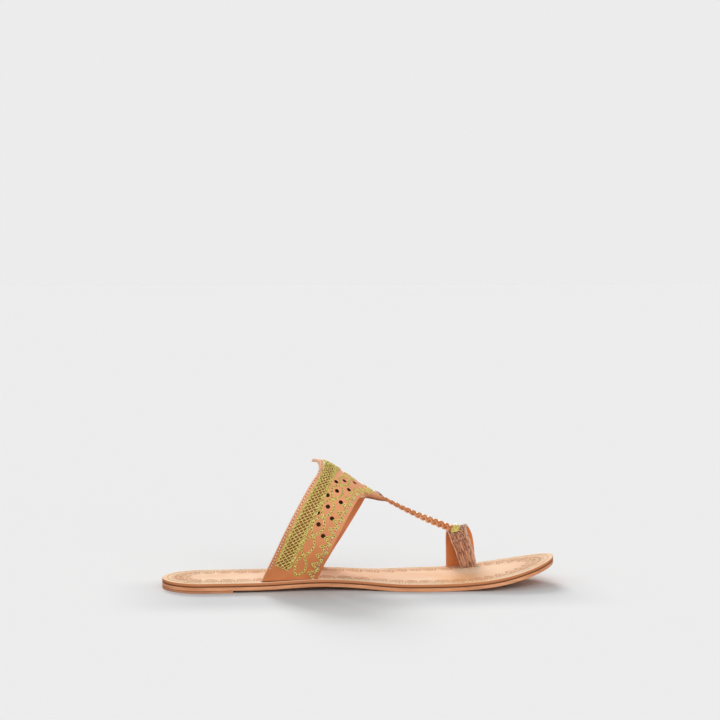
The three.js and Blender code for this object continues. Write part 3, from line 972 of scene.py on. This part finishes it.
def thread_finish(name, dark, light, metal, roughness):
    """Two-ply thread: a noise for the light and dark of the strands, and a fine wave for the twist."""
    material, tree, look = new_finish(name)
    place = coords(tree, "Object")
    strands = add(tree, "TexNoise", {"Vector": place, "Scale": 1500.0, "Detail": 2.0})
    tone = ramp(tree, strands.outputs["Fac"], 0.36, 0.62)
    mixed = add(tree, "MixRGB", {0: tone, 1: dark + (1,), 2: light + (1,)})
    twist = add(tree, "TexWave", {"Vector": place, "Scale": 900.0}, bands_direction="DIAGONAL")
    relief = add(tree, "Bump", {"Height": twist.outputs["Fac"], "Strength": 0.6, "Distance": 0.05 * mm})
    tree.links.new(mixed.outputs[0], look["Base Color"])
    tree.links.new(relief.outputs[0], look["Normal"])
    look["Metallic"].default_value = metal
    look["Roughness"].default_value = roughness
    return material


gold = thread_finish("gold_thread", (0.46, 0.33, 0.04), (1.0, 0.88, 0.3), 0.1, 0.36)
white = thread_finish("white_thread", (0.62, 0.56, 0.42), (0.95, 0.9, 0.78), 0.0, 0.7)
pricks = leather("needle_holes", (0.02, 0.008, 0.004), (0.09, 0.035, 0.015), 0.9)


def finish_part(piece, material, node):
    """Gives a sewn part its material and puts it with the piece that it is sewn to."""
    piece.data.materials.append(material)
    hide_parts(node)
    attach(piece, "root")


def lay_braid():
    """Long stitches one way, threads woven over and under them the other way, and close edges."""
    runs = []
    rise, fall = 14.0, 5.5

    def between_ends(s, places):
        return places[(s < braid_ends[1]) & (s > braid_ends[0] + 0.2)]

    for k, foot in enumerate(np.arange(-106.0, 92.0, braid_pitch)):
        t = np.linspace(0, 1, 16)
        s = foot + rise * t
        width = braid_front(s) - braid_back(s)
        runs.append(between_ends(s, sewn(s, braid_back(s) + width * np.minimum(1.14 * t, 1), 0.42)))
        t = np.linspace(0, 1, 40)
        s = foot - fall * t
        weave = np.cos(math.pi * t * (rise + fall) / braid_pitch + math.pi * k)
        width = braid_front(s) - braid_back(s)
        crossing = sewn(s, braid_back(s) - 0.2 + width * 0.97 * t, 0.46 + 0.3 * weave)
        runs.append(between_ends(s, crossing))
    for foot in np.arange(braid_ends[0] + 1.5, braid_ends[1] - 4, braid_pitch * 0.7):
        t = np.linspace(0, 1, 7)
        s = foot + 3.8 * t
        # an edge, and where the short stitches start and end from it
        for edge, start, end in ((braid_front, -1.9, 0.4), (braid_back, -0.4, 1.4)):
            runs.append(sewn(s, edge(s) + start + (end - start) * t, 0.3 + 0.5 * np.sin(math.pi * t)))
    for end in braid_ends:
        s = np.full(24, end) + 0.5 * (np.arange(24) % 2)
        runs.append(sewn(s, np.linspace(braid_back(end), braid_front(end), 24), 0.5))
    return lay_threads("gold_braid", [run for run in runs if len(run) > 2], gold_radius)


def chain_runs():
    """The two crossing chains, and the zigzag, as runs of spots along and across the band."""
    runs = []
    nodes = hole_shift + np.array([-node for node in chain_nodes[::-1]] + list(chain_nodes[:-1]))
    for strand in (1, -1):
        at = np.linspace(0, len(nodes) - 1, 2400)
        s = np.interp(at, np.arange(len(nodes)), nodes)
        swing = strand * np.sin(math.pi * at)
        middle = drawn_back(s, chain_run) + 1.8 * np.clip((np.abs(s) - 80) / 10, 0, 1)
        runs.append((s, middle + chain_swing * np.sign(swing) * np.abs(swing) ** 0.85))
    tips = np.arange(-90.2, 84, tooth_pitch)
    s = np.stack([tips + 3.6 - tooth_pitch, tips], 1).ravel()
    n = np.where(np.arange(len(s)) % 2, front_line(s) + 0.9 - tooth_height, front_line(s) + 0.9)
    steps = np.linspace(0, len(s) - 1, 1200)
    runs.append((np.interp(steps, np.arange(len(s)), s), np.interp(steps, np.arange(len(s)), n)))
    return runs


def lay_chains():
    """Chain stitch: one small closed loop of thread after another, each with its needle hole."""
    links, holes = [], []
    turn = np.linspace(0, 2 * math.pi, 13)[:-1]
    for s, n in chain_runs():
        length = np.concatenate([[0], np.cumsum(np.hypot(np.diff(s), np.diff(n)))])
        count = int(round(length[-1] / link_pitch))
        for at in (np.arange(count) + 0.5) * length[-1] / count:
            cs, cn = np.interp(at, length, s), np.interp(at, length, n)
            ahead = [np.interp(at + 0.4, length, a) - np.interp(at - 0.4, length, a) for a in (s, n)]
            ds, dn = ahead / max(np.hypot(*ahead), 1e-6)
            long, wide = 1.2 * np.cos(turn), 0.62 * np.sin(turn) * (1 + 0.2 * np.cos(turn))
            links.append(
                sewn(cs + ds * long - dn * wide, cn + dn * long + ds * wide, 0.24 + 0.12 * np.cos(turn))
            )
            holes.append((cs, cn))
    return lay_threads("gold_chains", links, gold_radius, closed=True), np.array(holes)


def face_normals(s, n):
    """The way that the band's outer face looks there."""
    return unit(sewn(s, n, 1.0) - sewn(s, n, 0.0))


def edge_stitches():
    """Short white stitches along both edges, with a needle hole between each two."""
    runs, holes = [], []
    marks = np.arange(stitched_to[0], stitched_to[1], stitch_pitch)
    for line in (lambda s: braid_back(s) - 1.8 + 0.7 * near_crest(s, 24), front_line):
        for at in marks:
            if line is front_line and -10 < at < 19:
                continue
            s = at + np.linspace(-0.62, 0.62, 5)
            runs.append(sewn(s, line(s), np.array([0.0, 0.2, 0.26, 0.2, 0.0])))
            holes.append((at + stitch_pitch / 2, float(line(at + stitch_pitch / 2))))
    return lay_threads("white_edge_stitches", runs, white_radius), np.array(holes)


finish_part(lay_braid(), gold, "upper")
chains, chain_holes = lay_chains()
finish_part(chains, gold, "upper")
stitches, stitch_holes = edge_stitches()
finish_part(stitches, white, "upper")
for name, holes, size in (
    ("chain_needle_holes", chain_holes, 0.36),
    ("edge_needle_holes", stitch_holes, 0.4),
):
    s, n = holes.T
    dots = prick(name, sewn(s, n, 0.03), face_normals(s, n), size)
    finish_part(dots, pricks, "upper")

# The punched holes go right through the band. A dark disc deep in each is painted shade, which keeps the
# holes dark.
backs = np.array([(u, across * band_width(u)) for u, across in hole_spots])
deep = on_band(backs[:, 0], backs[:, 1], np.full(len(backs), 0.25 - band_wall))
outward = unit(on_band(backs[:, 0], backs[:, 1], np.zeros(len(backs))) - deep)
hole_shade = prick("painted_shade_in_holes", deep, outward, hole_radius * 1.05)
finish_part(hole_shade, pricks, "upper")

# The toe ring is a short strap of the same leather with its rough flesh side out. It stands round the
# big toe, and its two feet go through the insole, the outer one between the toes.
ring_wall = 1.8
ring_front = 213
ring_width = 20
ring_height = 29
ring_tilt = 2.2
ring_span = 17
ring_inset = 2.2
# place sideways, height, and the front and back edges behind ring_front, all as shares
ring_form = (
    (-1.0, 0.0, 0.05, 0.58),
    (-1.0, 0.42, 0.18, 0.77),
    (-0.93, 0.72, 0.32, 0.93),
    (-0.62, 0.93, 0.39, 1.01),
    (0.0, 1.0, 0.37, 1.04),
    (0.62, 0.93, 0.27, 1.03),
    (0.93, 0.72, 0.13, 1.02),
    (1.0, 0.42, 0.05, 1.01),
    (1.0, 0.0, 0.0, 1.0),
)


def ring_curve(edge, height):
    """One edge of the toe ring, from foot to foot."""
    foot = ring_front - ring_form[-1][edge] * ring_width
    centre = edge_of_sole(np.array([foot]), 1)[0] - ring_inset - ring_span / 2
    points = []
    for row in ring_form:
        x = ring_front - row[edge] * ring_width
        on_sole = insole_top(x) if row[1] else insole_under(x)
        points.append((x, centre + row[0] * ring_span / 2, on_sole + row[1] * height))
    below = [(x, y, z - foot_depth) for x, y, z in (points[0], points[-1])]
    return curve_through([below[0]] + points + [below[1]])


ring_curves = (ring_curve(3, ring_height - ring_tilt), ring_curve(2, ring_height))


def on_ring(along, across, height):
    """A place on the ring, in metres: along and across it as shares, and off its outer face in mm."""
    return (strap_place(ring_curves, along, across, -height) - (heel_origin, 0, 0)) * mm


def finish_ring():
    """The rough flesh side, with dark folds up and down it, and a pale strip along each cut edge."""
    finish = leather("ring_flesh_side", (0.58, 0.26, 0.145), (0.76, 0.4, 0.255), 0.75, "UV", 900.0, 0.15)
    tree = finish.node_tree
    place = coords(tree, "UV")
    upright = add(tree, "VectorMath", {0: place, 1: (180, 520, 1)}, operation="MULTIPLY").outputs[0]
    sway = add(tree, "TexNoise", {"Vector": upright, "Scale": 1.0, "Detail": 3.0})
    wander = add(tree, "VectorMath", {0: sway.outputs["Color"], 1: upright}, operation="ADD").outputs[0]
    cells = add(tree, "TexVoronoi", {"Vector": wander, "Scale": 0.9}, feature="DISTANCE_TO_EDGE")
    folds = ramp(tree, cells.outputs["Distance"], 0.16, 0.02)
    deep_folds = calc(tree, "MULTIPLY", folds, ramp(tree, sway.outputs["Fac"], 0.3, 0.55))
    stain(finish, deep_folds, (0.25, 0.095, 0.055))
    across = flat_place(finish)["Y"]
    front_strip = ramp(tree, across, 16.6 * mm, 17.4 * mm)
    back_strip = ramp(tree, across, 0.7 * mm, 0.3 * mm)
    stain(finish, calc(tree, "MAXIMUM", front_strip, back_strip), (0.8, 0.47, 0.33))
    press_in(finish, folds, 0.5)
    return finish


ring_girth = 74
foot_share = 1 / (len(ring_form) + 1)
toe_ring, flat = flat_sheet("toe_ring_leather", 96, 26)
set_places(toe_ring, flat * (ring_girth, ring_width, 0) * mm)
toe_ring.data.materials.append(finish_ring())
toe_ring.data.materials.append(leather("ring_lining", (0.58, 0.18, 0.05), (0.78, 0.29, 0.1), 0.5, "UV"))
toe_ring.data.materials.append(leather("ring_edge", (0.88, 0.62, 0.46), (0.97, 0.8, 0.66), 0.6, "UV"))
thicken(toe_ring, ring_wall, 0.3)
ring_spots = get_places(toe_ring) / mm
give_map(toe_ring, "UVMap", ring_spots[:, 0] * mm, ring_spots[:, 1] * mm)
along = foot_share + (1 - 2 * foot_share) * ring_spots[:, 0] / ring_girth
set_places(toe_ring, on_ring(along, ring_spots[:, 1] / ring_width, ring_spots[:, 2]))
close_and_smooth(toe_ring)
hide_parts("upper")
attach(toe_ring, "root")

# The plait from the tongue to the ring is three narrow laces, cut from the tongue itself and crossed
# over and under each other.
plait_width = 5.4
plait_start_share = 0.56
lace_radius = 1.35
plait_pitch = 13.2
plait_lap = 4
plait_sag = 1
plait_rests_at = (0.46, 0.17, 0.9)  # along and across the ring as shares, and off its face
lace_steps, lace_corners = 150, 10


def plait_ends():
    """The middle of the plait under the tongue's tip, and on the ring's back edge under the knot."""
    tip = band_width(0.0) + tongue_length
    start = on_band(np.array([0.0]), np.array([tip - plait_lap]), np.array([-band_wall / 2]))[0]
    end = on_ring(*(np.array([value]) for value in plait_rests_at))[0]
    return start / mm, end / mm


def make_lace(number):
    """One lace, wrapped round its own line as it crosses over and under the other two."""
    start, end = plait_ends()
    run = end - start
    length = np.linalg.norm(run)
    side = np.cross((0, 0, 1), run)
    side /= np.linalg.norm(side)
    up = np.cross(run, side) / length
    lace, flat = flat_sheet(f"plait_lace_{number + 1}", lace_steps, lace_corners)
    share, turn = flat[:, 0], 2 * math.pi * flat[:, 1]
    phase = 2 * math.pi * (share * length / plait_pitch + number / 3)
    size = plait_start_share + (1 - plait_start_share) * np.clip(share / 0.6, 0, 1)
    size = size * (1 + 0.2 * np.clip((share - 0.5) / 0.3, 0, 1))
    swing = plait_width / 2 - lace_radius
    sideways = size * (swing * np.sin(phase) + lace_radius * np.cos(turn))
    upward = size * lace_radius * (0.86 * np.sin(2 * phase) + 0.74 * np.sin(turn))
    upward -= plait_sag * np.sin(math.pi * share)
    place = start + share[:, None] * run + sideways[:, None] * side + upward[:, None] * up
    set_places(lace, place * mm)
    give_map(lace, "UVMap", share * length * mm, flat[:, 1] * 6 * mm)
    in_edit(lace, close_ends)
    close_and_smooth(lace)
    return lace


lace_finish = leather("plait_leather", (0.76, 0.31, 0.125), (0.97, 0.53, 0.28), 0.36, "UV", bump=0.12)
lace_tree = lace_finish.node_tree
# Darker along each lace's two sides: painted shade where the laces press together, over the darker cut
# edges of the laces.
half_turns = calc(lace_tree, "FRACT", calc(lace_tree, "DIVIDE", flat_place(lace_finish)["Y"], 3 * mm))
from_middle = calc(lace_tree, "ABSOLUTE", calc(lace_tree, "SUBTRACT", half_turns, 0.5))
stain(lace_finish, ramp(lace_tree, from_middle, 0.36, 0.49), (0.26, 0.08, 0.03))
for number in range(3):
    lace = make_lace(number)
    lace.data.materials.append(lace_finish)
    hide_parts("upper")
    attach(lace, "root")

# A knot of gold thread holds the plait's end on the ring's crown. It is wound across the crown in two
# layers and a few stitches are drawn tight over it.
knot_low, knot_high = 0.385, 0.53
knot_back, knot_front = 0.16, 0.62
winds = []
for k in range(22):
    row = (k % 13 + 0.5) / 13
    lean_over = 0.012 * math.sin(2.4 * k)
    t = np.linspace(0, 1, 9)
    along = knot_low + (knot_high - knot_low) * row + lean_over * (t - 0.5)
    across = knot_back + (knot_front - knot_back) * (t + 0.05 * math.sin(1.7 * k))
    swell = (0.8 + 0.6 * (k > 12)) * math.sin(math.pi * row) ** 0.7 * np.sin(math.pi * t) ** 0.6
    winds.append(on_ring(along, across, 0.1 + swell))
for k in range(4):
    t = np.linspace(0, 1, 9)
    across = knot_back + (knot_front - knot_back) * (0.2 + 0.2 * k + 0.1 * (t - 0.5))
    swell = 1.7 * np.sin(math.pi * t) ** 0.7
    winds.append(on_ring(knot_low + (knot_high - knot_low) * t, across, 0.2 + swell))
finish_part(lay_threads("gold_knot", winds, 0.31), gold, "upper")

# Where the straps go down through the insole it has slots, cut a little wider than the strap. The
# edge stitching of the insole runs all round and stops at the straps' feet.
slot_clearance = 0.3
slot_half = 5.6
ring_margin = 0.03  # of the ring's width
raw_cut = leather("raw_cut_leather", (0.05, 0.02, 0.01), (0.12, 0.045, 0.02), 0.9)


def cut_slot(name, wall, place_at):
    """Cuts the insole with a slab that follows a strap's foot, and gives the cut faces a raw finish."""
    cutter, flat = flat_sheet(name, 10, 8)
    set_places(cutter, flat * (1, 1, 0))
    thicken(cutter, wall + 2 * slot_clearance, 0)
    for _ in range(3):
        cutter.data.materials.append(raw_cut)
    flat = get_places(cutter)
    set_places(cutter, place_at(flat[:, 0], flat[:, 1], flat[:, 2] / mm + slot_clearance))
    close_and_smooth(cutter)
    take_up(insole)
    cut = insole.modifiers.new(name, "BOOLEAN")
    cut.object = cutter
    cut.operation = "DIFFERENCE"
    cut.solver = "EXACT"
    cut.material_mode = "TRANSFER"
    bpy.ops.object.modifier_apply(modifier=cut.name)
    bpy.data.objects.remove(cutter)


for number, foot in enumerate(band_feet):
    cut_slot(
        f"band_slot_{number}",
        band_wall,
        lambda a, b, h, foot=foot: on_band(
            foot + (a - 0.5) * 2 * slot_half,
            -slot_clearance + b * (band_width(foot) + 2 * slot_clearance),
            h,
        ),
    )
ring_feet = (foot_share, 1 - foot_share)
for number, foot in enumerate(ring_feet):
    cut_slot(
        f"ring_slot_{number}",
        ring_wall,
        lambda a, b, h, foot=foot: on_ring(
            foot + (a - 0.5) * 0.14,
            -ring_margin + b * (1 + 2 * ring_margin),
            h,
        ),
    )

foot_corners = []  # the outer face's two corners at each strap's foot
for foot in band_feet:
    ends = np.array([0.0, float(band_width(foot))])
    foot_corners.append(on_band(np.full(2, foot), ends, np.zeros(2)) / mm + (heel_origin, 0, 0))
for foot in ring_feet:
    ends = np.array([0.0, 1.0])
    foot_corners.append(on_ring(np.full(2, foot), ends, np.zeros(2)) / mm + (heel_origin, 0, 0))


def clear_of_feet(x, y):
    """Whether the edge stitching runs on here, and isn't broken off for a strap's foot."""
    for corners in foot_corners:
        beside = corners[:, 0].min() - 2.5 < x < corners[:, 0].max() + 2.5
        same_side = np.sign(corners[0, 1]) == np.sign(y)
        if beside and same_side and abs(corners[:, 1].mean() - y) <= 5:
            return False
    return True


px, py, at = outline(3.5, 0.3)
runs, ends = [], []
for k in range(0, len(px) - 10, 10):
    x, y = px[k : k + 7], py[k : k + 7]
    if np.ptp(x) < 3 and np.ptp(y) < 3 and clear_of_feet(x[3], y[3]):
        lift = np.array([-0.05, 0.1, 0.17, 0.19, 0.17, 0.1, -0.05])
        runs.append(np.stack([x - heel_origin, y, insole_top(x) + lift], -1) * mm)
        gap_x, gap_y = px[k + 8], py[k + 8]
        ends.append((gap_x - heel_origin, gap_y, float(insole_top(gap_x)) + 0.03))
cream = thread_finish("cream_thread", (0.5, 0.44, 0.2), (0.9, 0.84, 0.55), 0.0, 0.65)
finish_part(lay_threads("insole_edge_stitches", runs, 0.24), cream, "insole")
ends = np.array(ends) * mm
flat_up = np.tile((0.0, 0.0, 1.0), (len(ends), 1))
finish_part(prick("insole_needle_holes", ends, flat_up, 0.42), pricks, "insole")

# Short cream stitches go round the slot of the ring's outer foot, between the toes. They hold the foot
# down to the insole.
foot_at = foot_share + 0.018
sides = np.array([-0.14, 1.12, 1.12, -0.14, -0.14])
stand_off = np.array([1.3, 1.3, -ring_wall - 1.2, -ring_wall - 1.2, 1.3])
corners = on_ring(np.full(5, foot_at), sides, stand_off)[:, :2]
length = np.concatenate([[0], np.cumsum(np.linalg.norm(np.diff(corners, axis=0), axis=1))])
runs = []
for start_at in np.arange(0.4 * mm, length[-1] - 1.5 * mm, 2.1 * mm):
    t = start_at + np.linspace(0, 1.5 * mm, 5)
    x, y = (np.interp(t, length, corners[:, k]) for k in range(2))
    lift = np.array([-0.05, 0.2, 0.26, 0.2, -0.05])
    runs.append(np.stack([x, y, (insole_top(x / mm + heel_origin) + lift) * mm], -1))
finish_part(lay_threads("ring_foot_stitches", runs, 0.27), cream, "insole")
